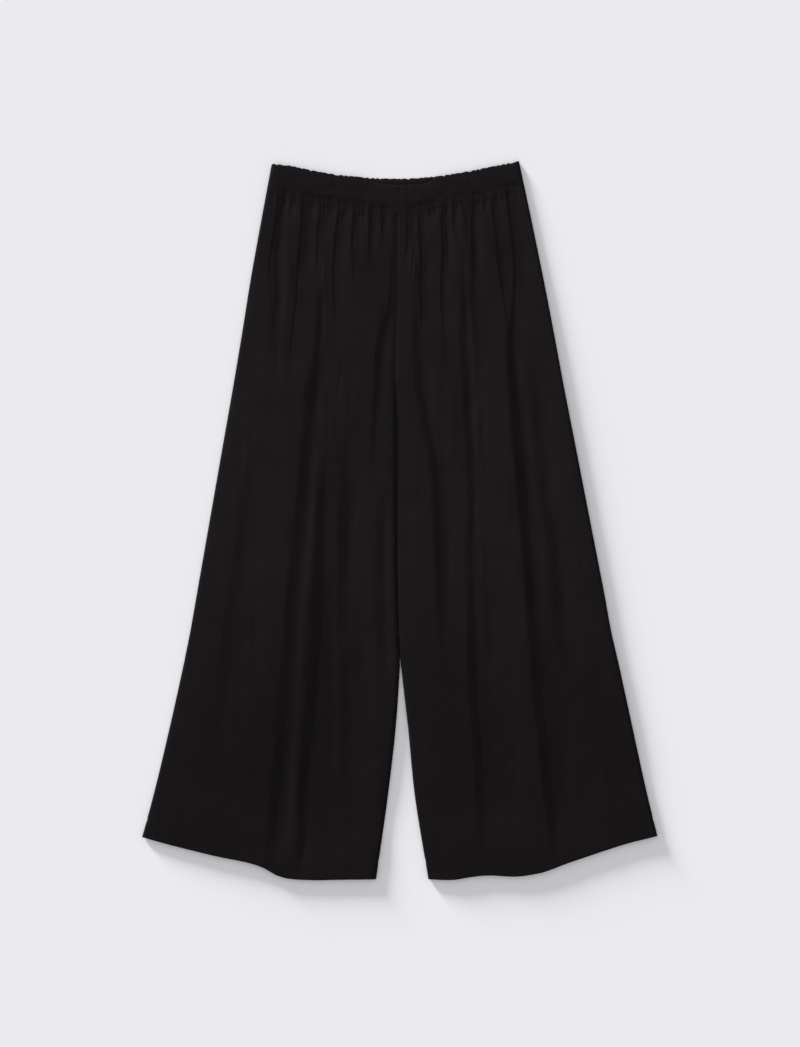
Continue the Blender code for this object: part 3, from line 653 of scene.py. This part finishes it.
def cross_section(section, fold, off, widening):
    """A fold's shape across it: a wall down to its foot, a floor that still falls, and a slow rise."""
    left, right = fold.left * widening, fold.right * widening
    lowest_at = np.minimum(LOWEST_AT * right, LOWEST_WITHIN) * np.ceil(fold.floor)
    core = even_ramp(1 + off / np.minimum(left, CORE_WIDTH))
    wall = blend(even_ramp(1 + off / left), core, fold.core)
    floor = 1 - fold.floor * (1 - off / np.maximum(lowest_at, NARROWEST_FLOOR)) ** 2
    rise = bump((off - lowest_at) / (right * blend(1, RISE_NARROWS, fold.floor)))
    trough = np.where(off < 0, (1 - fold.floor) * wall, np.where(off < lowest_at, floor, rise))
    crease = bump(off / np.where(off < 0, CREASE_LEFT, CREASE_RIGHT))
    return section.trough * trough + section.crease * crease


def fold_depth(folds, x, y):
    """How far all the folds together lower the cloth."""
    depth = np.zeros_like(x)
    x = x + uneven(FOLD_STRAYS, x, y)
    for section, group in folds:
        for fold in group:
            top, bottom = fold.rows[0][0], fold.rows[-1][0]
            line = read_curve(fold.rows, y)
            widening = blend(1, fold.widen, np.clip((top - y) / (top - bottom), 0, 1))
            depth += line[..., 1] * cross_section(section, fold, x - line[..., 0], widening)
    return FOLDS_DEEPER * depth * (1 + uneven(FOLD_VARIES, x, y))


def dent_depth(dents, x, y):
    """How far all the dents together lower the cloth."""
    depth = 0
    for dent in dents:
        depth = depth + dent.depth * bump((x - dent.x) / dent.wide) * bump((y - dent.y) / dent.high)
    return depth


def side_roll(leg, to_side, down):
    """How high the front stands beside its side seam: near the waist it hardly rolls over."""
    rolled = read_curve(leg.swell, to_side)[..., 0]
    return blend(1, rolled, blend(WAIST_SIDE_ROLL, 1, ramp(down / SIDE_ROLL_EASE)))


def above_crotch(y, ease):
    """1 above the crotch, where the legs are sewn together, and 0 from an ease below it."""
    return ramp((y - CROTCH_Y + ease) / ease)


def stand_off(leg, panel):
    """How far the front stands above where it would lie if both layers were flat."""
    below_seam = ramp(panel.down / SEAM_EASE)
    centre_roll = blend(CENTRE_PUFF, 1, ramp(panel.to_inner / leg.centre_roll))
    open_roll = read_curve(leg.inner, panel.to_inner)[..., 0]
    inner_roll = blend(open_roll, centre_roll, above_crotch(panel.y, CROTCH_EASE))
    droop = blend(HEM_DROOPED, 1, ramp(panel.to_hem / HEM_DROOP))
    stand = PUFF * side_roll(leg, panel.to_side, panel.down) * inner_roll * droop
    stand = stand * blend(SEAM_PUFF, 1, below_seam)
    fade = blend(FOLDS_FADED, 1, ramp(panel.to_hem / FOLDS_FADE))
    stand = stand - fold_depth(leg.folds, panel.x, panel.y) * fade
    stand = stand - dent_depth(LEG_DENTS, panel.x, panel.y)
    for patch in UNEVEN_CLOTH:
        stand = stand + uneven(patch, panel.x, panel.y) * ramp(panel.to_side / SMOOTH_EDGE)
    small_gathers = uneven(SMALL_GATHERS, panel.x, panel.y)
    stand = stand + small_gathers * ramp(1 - panel.down / SMALL_GATHER_LENGTH)
    return (stand + np.sqrt(stand**2 + EASES_ONTO_BACK**2)) / 2


def seam_marks(panel):
    """The groove of the centre seam and the small puckers beside it, above the crotch."""
    groove = GROOVE * bump(panel.to_inner / GROOVE_WIDTH)
    wander = PUCKER_WANDER * np.sin(panel.y / PUCKER_WANDER_LENGTH)
    pull = PUCKER * np.sin(tau * panel.y / PUCKER_PITCH + wander)
    marks = groove - pull * bump(panel.to_inner / PUCKER_REACH)
    return above_crotch(panel.y, CROTCH_SEAM_EASE) * marks


def waist_seam_height(leg, x):
    """Where the casing and the legs are sewn together: the gathers run across that seam."""
    y = read_curve(WAIST_SEAM, x)[..., 0]
    gathers = SEAM_GATHERED * fold_depth(leg.folds, x, y - BAND_GATHERS_AT)
    edges = read_curve(leg.edges, y)
    to_side = x - edges[..., 0] if leg.side_is_left else edges[..., 1] - x
    sink = SEAM_SIDE_SINK * (1 - side_roll(leg, to_side, 0))
    return FRONT_BAND_LIES_AT + BAND_PROFILE[0].front - gathers - sink


def turned_up_hem(panel):
    """1 on the hem, where the cloth lies double, and 0 above it."""
    return ramp((HEM_DEPTH + HEM_STEP / 2 - panel.to_hem) / HEM_STEP)


def front_layers(leg, panel):
    """The upper and lower heights of a front panel."""
    hem_share = ramp(1 - (panel.to_hem - HEM_DEPTH) / HEM_EASE)
    turned_up = turned_up_hem(panel)
    upper = FRONT_LOWEST + HEM_RISE * hem_share + stand_off(leg, panel) + HEM_SWELL * turned_up
    upper = upper - seam_marks(panel)
    upper = blend(waist_seam_height(leg, panel.x), upper, ramp(panel.down / SEAM_TUCK))
    lower = upper - blend(CLOTH, HEM_CLOTH, turned_up)
    return sew_edges(panel, upper, lower, SEAM_LINE + SEAM_CLOTH)


def back_layers(leg, panel):
    """The upper and lower heights of a back panel, which lies on the floor."""
    turned_up = turned_up_hem(panel)
    gathers = np.abs(uneven(BACK_GATHERS, panel.x, panel.y))
    gathers = gathers * ramp(1 - panel.down / BACK_GATHER_LENGTH)
    folds = np.abs(uneven(BACK_FOLDS, panel.x, panel.y))
    thick = blend(CLOTH, HEM_CLOTH, turned_up)
    room = np.maximum(front_layers(leg, panel)[1] - thick - LAYER_GAP, 0)
    lower = np.minimum(BACK_RISE * ramp((gathers + folds) / BACK_FULL_RISE), room)
    upper = lower + thick
    return sew_edges(panel, upper, lower, SEAM_LINE - SEAM_CLOTH)


def sew_edges(panel, upper, lower, seam_height):
    """Turns a panel's edges in, at the side and inner seams, to where both layers are sewn together."""
    joined = above_crotch(panel.y, CROTCH_SEAM_EASE)
    turned = rounding(np.minimum(panel.to_side / EDGE_TURN, panel.to_inner / INNER_TURN + joined))
    middle, half = (upper + lower) / 2, (upper - lower) / 2
    middle = blend(middle, seam_height, turned)
    to_inner = panel.to_inner + EDGE_ROUND * joined
    to_edge = np.minimum.reduce([panel.to_side, to_inner, panel.to_hem])
    half = half * blend(1, SEAM_CLOTH, rounding(to_edge / EDGE_ROUND))
    return middle + half, middle - half


# Waistband casing


def band_ends(y):
    """The casing's ends at heights, where the legs' side edges run on."""
    return read_curve(RIGHT_LEG_EDGES, y)[..., 0], read_curve(LEFT_LEG_EDGES, y)[..., 1]


def band_layers(is_front):
    """Points of the casing's upper and lower layer, and its cut, over its rows from the top down."""
    shares = np.linspace(0, 1, RIPPLES * COLUMNS_PER_RIPPLE + 1)
    across, up = np.meshgrid(shares, np.array(BAND_ROWS_UP[::-1]))
    right_end, left_end = band_ends(np.full_like(across, BAND_MIDDLE_Y))
    for _ in range(SETTLING_STEPS):
        x = blend(right_end, left_end, across)
        low = read_curve(WAIST_SEAM, x)[..., 0]
        high = read_curve(BACK_TOP_EDGE, x)[..., 0]
        dip = read_curve(FRONT_DIP, x)[..., 0]
        y = blend(low, high - dip if is_front else high, up)
        right_end, left_end = band_ends(y)
    to_end = np.minimum(x - right_end, left_end - x)
    level = read_curve(BAND_PROFILE, up)
    number = across * RIPPLES
    for wander in RIPPLES_WANDER:
        number = number + wander.size * np.sin(across * wander.waves + up * wander.lean)
    varies = 1 - RIPPLE_VARIES + RIPPLE_VARIES * np.sin(across * RIPPLE_VARIES_WAVES + 1)
    groove = ((1 + np.cos(tau * number)) / 2) ** RIPPLE_SHARPNESS * varies * level[..., 2]
    y = y - SCALLOP * groove * up**SCALLOP_FADES
    thick = level[..., 0] if is_front else level[..., 1]
    thick = thick - RIPPLE_DEPTH * groove * (1 if is_front else BACK_RIPPLE_SHARE)
    if is_front:
        seam = np.where(x < 0, *[waist_seam_height(leg, x) for leg in (RIGHT_LEG, LEFT_LEG)])
        thick = blend(thick, seam - FRONT_BAND_LIES_AT, ramp(1 - up / BAND_GATHERED))
        thick = thick - dent_depth(BAND_DENTS, x, y)
    else:
        above_front = y - (high - dip) - DIP_LINE_ABOVE
        thick = thick - DIP_LINE * bump(above_front / DIP_LINE_WIDTH) * ramp(dip / DIP_LINE_ABOVE - 1)
    thick = np.maximum(thick, SEAM_CLOTH) * blend(BAND_END_THICK, 1, ramp(to_end / BAND_END_ROLL))
    lower = np.full_like(x, FRONT_BAND_LIES_AT if is_front else 0)
    upper = lower + thick
    turned = rounding(to_end / EDGE_TURN)
    seam_height = FRONT_BAND_LIES_AT / 2 + (SEAM_CLOTH if is_front else -SEAM_CLOTH)
    upper = blend(upper, seam_height + SEAM_CLOTH / 2, turned)
    lower = blend(lower, seam_height - SEAM_CLOTH / 2, turned)
    cut = np.stack([(across - 0.5) * CASING_CUT_WIDTH, up * CASING_CUT_HEIGHT], -1)
    return stack(x, y, upper), stack(x, y, lower), cut * MM


# Meshes


def stack(x, y, z):
    return np.stack([x, y, z], -1)


def make_piece(name, points, faces, material):
    """A smooth piece of its own from points in millimetres and faces."""
    mesh = bpy.data.meshes.new(name)
    mesh.from_pydata((points * MM).tolist(), [], faces)
    mesh.shade_smooth()
    mesh.materials.append(material)
    piece = bpy.data.objects.new(name, mesh)
    bpy.context.collection.objects.link(piece)
    return piece


def make_sheet(name, upper, lower, cut, material):
    """One closed piece of cloth between an upper and a lower layer of points, in rows downwards."""
    rows, columns = upper.shape[:2]
    points = np.concatenate([upper.reshape(-1, 3), lower.reshape(-1, 3)])
    number = np.arange(rows * columns).reshape(rows, columns)
    under = number + rows * columns
    quads = [
        np.stack([number[1:, :-1], number[1:, 1:], number[:-1, 1:], number[:-1, :-1]], -1),
        np.stack([under[1:, :-1], under[:-1, :-1], under[:-1, 1:], under[1:, 1:]], -1),
        np.stack([under[-1, :-1], under[-1, 1:], number[-1, 1:], number[-1, :-1]], -1),
        np.stack([under[0, 1:], under[0, :-1], number[0, :-1], number[0, 1:]], -1),
        np.stack([under[:-1, 0], under[1:, 0], number[1:, 0], number[:-1, 0]], -1),
        np.stack([under[1:, -1], under[:-1, -1], number[:-1, -1], number[1:, -1]], -1),
    ]
    faces = np.concatenate([part.reshape(-1, 4) for part in quads])
    sheet = make_piece(name, points, faces.tolist(), material)
    layer = sheet.data.uv_layers.new(name="cut")
    both = np.concatenate([cut.reshape(-1, 2)] * 2)
    layer.data.foreach_set("uv", both[faces.reshape(-1)].reshape(-1).astype(np.float32))
    return sheet


def make_stitch():
    """One stitch of thread, as the points and faces of a bead one unit long with few faces.

    The sphere tool numbers its points in another order on every run, so they are sorted by place.
    """
    bpy.ops.object.select_all(action="DESELECT")
    bpy.ops.mesh.primitive_uv_sphere_add(segments=6, ring_count=4, radius=0.5, rotation=(0, pi / 2, 0))
    bead = bpy.context.object
    bpy.ops.object.transform_apply(location=False, rotation=True, scale=False)
    points = np.round([vertex.co for vertex in bead.data.vertices], 6) + 0.0
    order = np.lexsort(points.T)
    number = np.argsort(order).tolist()
    faces = []
    for face in bead.data.polygons:
        corners = [number[corner] for corner in face.vertices]
        first = corners.index(min(corners))
        faces.append((*corners[first:], *corners[:first]))
    bpy.data.objects.remove(bead, do_unlink=True)
    return points[order], sorted(faces)


def make_stitches(name, line, pitch, length, sunk, material):
    """A row of stitches along a line of points that lie on the cloth."""
    points, faces = make_stitch()
    points = points * (length, STITCH_WIDTH, STITCH_HEIGHT)
    run = np.concatenate([[0], np.cumsum(np.linalg.norm(np.diff(line, axis=0), axis=1))])
    all_points, all_faces = [], []
    for at in np.arange(pitch, run[-1] - pitch, pitch):
        here, ahead = [
            np.array([np.interp(spot, run, line[:, axis]) for axis in range(3)])
            for spot in (at - length / 2, at + length / 2)
        ]
        along = (ahead - here) / np.linalg.norm(ahead - here)
        sideways = np.cross([0, 0, 1], along)
        turned = np.stack([along, sideways / np.linalg.norm(sideways), np.cross(along, sideways)])
        start = len(all_points) * len(points)
        all_points.append(points @ turned + (here + ahead) / 2 - [0, 0, sunk])
        all_faces += [tuple(start + corner for corner in face) for face in faces]
    return make_piece(name, np.concatenate(all_points), all_faces, material)


# Materials


def linear(hex_colour):
    """An sRGB hex colour as linear red, green, blue and alpha."""
    parts = [int(hex_colour[i : i + 2], 16) / 255 for i in (0, 2, 4)]
    return (*(c / 12.92 if c <= 0.04045 else ((c + 0.055) / 1.055) ** 2.4 for c in parts), 1)


def add_node(tree, kind, settings=None, inputs=None):
    """One node with its settings. An input is a value, or the output socket that feeds it."""
    node = tree.nodes.new(kind)
    for key, value in (settings or {}).items():
        setattr(node, key, value)
    for key, value in (inputs or {}).items():
        if isinstance(value, bpy.types.NodeSocket):
            tree.links.new(value, node.inputs[key])
        else:
            node.inputs[key].default_value = value
    return node


def start_material(name):
    material = bpy.data.materials.new(name)
    material.use_nodes = True
    material.node_tree.nodes.clear()
    return material, material.node_tree


def make_crepe(finish):
    """Woven polyester crepe: high-twist yarn gives a dull, finely pebbled face with no shine.

    The face scatters light so evenly that no gloss is left, only a little sheen of fibre ends.
    """
    material, tree = start_material(finish.name)
    cut = add_node(tree, "ShaderNodeUVMap", {"uv_map": "cut"})
    cloudy = add_node(tree, "ShaderNodeTexNoise", {"noise_dimensions": "2D"}, {
        "Vector": cut.outputs["UV"], "Scale": 1 / (CLOUD_SIZE * MM), "Detail": 3, "Roughness": 0.55})
    tint = add_node(tree, "ShaderNodeMix", {"data_type": "RGBA"}, {
        "Factor": cloudy.outputs["Fac"], "A": linear(finish.dark), "B": linear(finish.pale)})
    along = add_node(tree, "ShaderNodeSeparateXYZ", {}, {"Vector": cut.outputs["UV"]})
    # Painted shade: the base colour darkens towards the hem
    to_hem = add_node(tree, "ShaderNodeMapRange", {"interpolation_type": "SMOOTHSTEP"}, {
        "Value": along.outputs["Y"], "From Min": -HEM_SHADE_FROM * MM, "From Max": -HEM_SHADE_TO * MM,
        "To Max": HEM_SHADE_SHARE})
    painted_hem_shade = add_node(tree, "ShaderNodeMix", {"data_type": "RGBA"}, {
        "Factor": to_hem.outputs["Result"], "A": tint.outputs["Result"],
        "B": linear(finish.at_hem)})
    grain = add_node(tree, "ShaderNodeTexNoise", {"noise_dimensions": "2D"}, {
        "Vector": cut.outputs["UV"], "Scale": 1 / (GRAIN_SIZE * MM), "Detail": 2, "Roughness": 0.6})
    stretched = add_node(tree, "ShaderNodeMapping", {}, {
        "Vector": cut.outputs["UV"],
        "Scale": (1 / (STREAK_WIDTH * MM), 1 / (STREAK_LENGTH * MM), 1)})
    streaks = add_node(tree, "ShaderNodeTexNoise", {"noise_dimensions": "2D"}, {
        "Vector": stretched.outputs["Vector"], "Scale": 1, "Detail": 2})
    low = add_node(tree, "ShaderNodeBump", {}, {
        "Height": streaks.outputs["Fac"], "Distance": finish.streak_height * MM})
    fine = add_node(tree, "ShaderNodeBump", {}, {
        "Height": grain.outputs["Fac"], "Distance": finish.grain_height * MM,
        "Normal": low.outputs["Normal"]})
    surface = add_node(tree, "ShaderNodeBsdfPrincipled", {}, {
        "Base Color": painted_hem_shade.outputs["Result"], "Roughness": finish.roughness, "IOR": 1.45,
        "Specular IOR Level": 0.0, "Sheen Weight": 0.05, "Sheen Roughness": 0.3,
        "Normal": fine.outputs["Normal"]})
    add_node(tree, "ShaderNodeOutputMaterial", {}, {"Surface": surface.outputs["BSDF"]})
    return material


def make_thread():
    """Spun polyester thread: black, a little smoother than the crepe."""
    material, tree = start_material("black_polyester_thread")
    place = add_node(tree, "ShaderNodeTexCoord")
    twist = add_node(tree, "ShaderNodeTexNoise", {}, {
        "Vector": place.outputs["Object"], "Scale": 1 / (THREAD_PLY * MM), "Detail": 1})
    ply = add_node(tree, "ShaderNodeBump", {}, {
        "Height": twist.outputs["Fac"], "Distance": THREAD_PLY_HEIGHT * MM})
    surface = add_node(tree, "ShaderNodeBsdfPrincipled", {}, {
        "Base Color": linear(THREAD_COLOUR), "Roughness": 0.7, "Specular IOR Level": 0.04,
        "IOR": 1.5, "Normal": ply.outputs["Normal"]})
    add_node(tree, "ShaderNodeOutputMaterial", {}, {"Surface": surface.outputs["BSDF"]})
    return material


def make_floor_paint():
    """Matt studio paint: a cool pale grey, faintly uneven."""
    material, tree = start_material("matt_studio_paint")
    place = add_node(tree, "ShaderNodeTexCoord")
    patches = add_node(tree, "ShaderNodeTexNoise", {}, {
        "Vector": place.outputs["Object"], "Scale": FLOOR_PATCHES_PER_METRE, "Detail": 2})
    dark, pale = [linear(colour) for colour in FLOOR_COLOURS]
    tint = add_node(tree, "ShaderNodeMix", {"data_type": "RGBA"}, {
        "Factor": patches.outputs["Fac"], "A": dark, "B": pale})
    surface = add_node(tree, "ShaderNodeBsdfPrincipled", {}, {
        "Base Color": tint.outputs["Result"], "Roughness": 0.9, "Specular IOR Level": 0.1})
    add_node(tree, "ShaderNodeOutputMaterial", {}, {"Surface": surface.outputs["BSDF"]})
    return material


# Studio


def light_studio():
    """An even light from all round, and a low lamp that brings out the folds of the dull cloth."""
    bpy.context.scene.view_settings.view_transform = "Standard"
    world = bpy.data.worlds.new("even_studio_light")
    bpy.context.scene.world = world
    world.use_nodes = True
    background = world.node_tree.nodes["Background"]
    background.inputs["Color"].default_value = linear(SKY_COLOUR)
    background.inputs["Strength"].default_value = SKY_STRENGTH
    lamp = bpy.data.lights.new("low_lamp", "SUN")
    lamp.energy = LAMP_STRENGTH
    lamp.angle = radians(LAMP_WIDTH_ANGLE)
    stand = bpy.data.objects.new("low_lamp", lamp)
    level = np.cos(radians(LAMP_HEIGHT_ANGLE))
    stand.location = (LAMP_FROM_X * level, LAMP_FROM_Y * level, np.sin(radians(LAMP_HEIGHT_ANGLE)))
    stand.rotation_euler = stand.location.to_track_quat("Z", "Y").to_euler()
    bpy.context.collection.objects.link(stand)


def lay_floor():
    bpy.ops.object.select_all(action="DESELECT")
    bpy.ops.mesh.primitive_plane_add(size=FLOOR_SIZE, location=(0, 0, FLOOR_LIES_AT * MM))
    floor = bpy.context.object
    floor.name = "studio_floor"
    bpy.ops.object.transform_apply(location=True, rotation=False, scale=False)
    floor.data.materials.append(make_floor_paint())


def aim_camera():
    """Straight above the photograph's middle, as high as its frame needs."""
    data = bpy.data.cameras.new("overhead_camera")
    data.lens = LENS
    data.sensor_width = SENSOR
    camera = bpy.data.objects.new("overhead_camera", data)
    height = PHOTO_HEIGHT * MM_PER_PIXEL * LENS / SENSOR
    x = (PHOTO_WIDTH / 2 - MIDDLE_PIXEL_X) * MM_PER_PIXEL
    y = (MIDDLE_PIXEL_Y - PHOTO_HEIGHT / 2) * MM_PER_PIXEL
    camera.location = (x * MM, y * MM, height * MM)
    data.clip_end = 2 * height * MM
    bpy.context.collection.objects.link(camera)
    bpy.context.scene.camera = camera


# The trousers


def declare(piece, node=None):
    """Attaches a piece to the root body, and hides the imported part that it stands in for."""
    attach(piece, "root")
    if node:
        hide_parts(node)
    return piece


def dress_leg(side, layer, crepe, thread):
    """A leg's front or back panel, with the blind stitches that hold its hem."""
    leg = LEGS[side]
    is_front = layer == "front"
    shares = column_shares(FRONT_COLUMNS if is_front else BACK_COLUMNS)
    distances = row_distances(ROW_STEP if is_front else BACK_ROW_STEP)
    panel = lay_panel(leg, shares, distances, 0 if is_front else BACK_HEM_SHORT)
    upper, lower = (front_layers if is_front else back_layers)(leg, panel)
    name = f"{layer}_leg_{side}"
    upper, lower = stack(panel.x, panel.y, upper), stack(panel.x, panel.y, lower)
    sheet = make_sheet(f"crepe_{name}", upper, lower, panel.cut, crepe)
    if is_front:
        hem_row = np.argmin(np.abs(distances - (PANEL_LENGTH - HEM_DEPTH)))
        line = upper[hem_row, len(EDGE_SHARES) : -len(EDGE_SHARES)]
        stitches = make_stitches(
            f"hem_stitches_{side}", line, HEM_STITCH_PITCH, HEM_STITCH_LENGTH, HEM_STITCH_SUNK, thread)
        declare(stitches)
    declare(sheet, name)


def dress_band(layer, crepe, thread):
    """The front or back half of the casing, with the stitches above the front's lower edge."""
    is_front = layer == "front"
    upper, lower, cut = band_layers(is_front)
    name = f"waistband_{layer}"
    sheet = make_sheet(f"crepe_{name}", upper, lower, cut, crepe)
    if is_front:
        row = np.argmin(np.abs(np.array(BAND_ROWS_UP[::-1]) - CASING_STITCH_UP))
        line = upper[row, COLUMNS_PER_RIPPLE:-COLUMNS_PER_RIPPLE]
        stitches = make_stitches(
            "casing_stitches", line, CASING_STITCH_PITCH, STITCH_LENGTH, STITCH_SUNK, thread)
        declare(stitches)
    declare(sheet, name)


def dress_trousers():
    """All the panels, the back layer first: the casing is the same crepe, gathered."""
    thread = make_thread()
    crepe, casing = make_crepe(LEG_CREPE), make_crepe(CASING_CREPE)
    for layer in ("back", "front"):
        for side in LEGS:
            dress_leg(side, layer, crepe, thread)
        dress_band(layer, casing, thread)


lay_floor()
light_studio()
aim_camera()
dress_trousers()
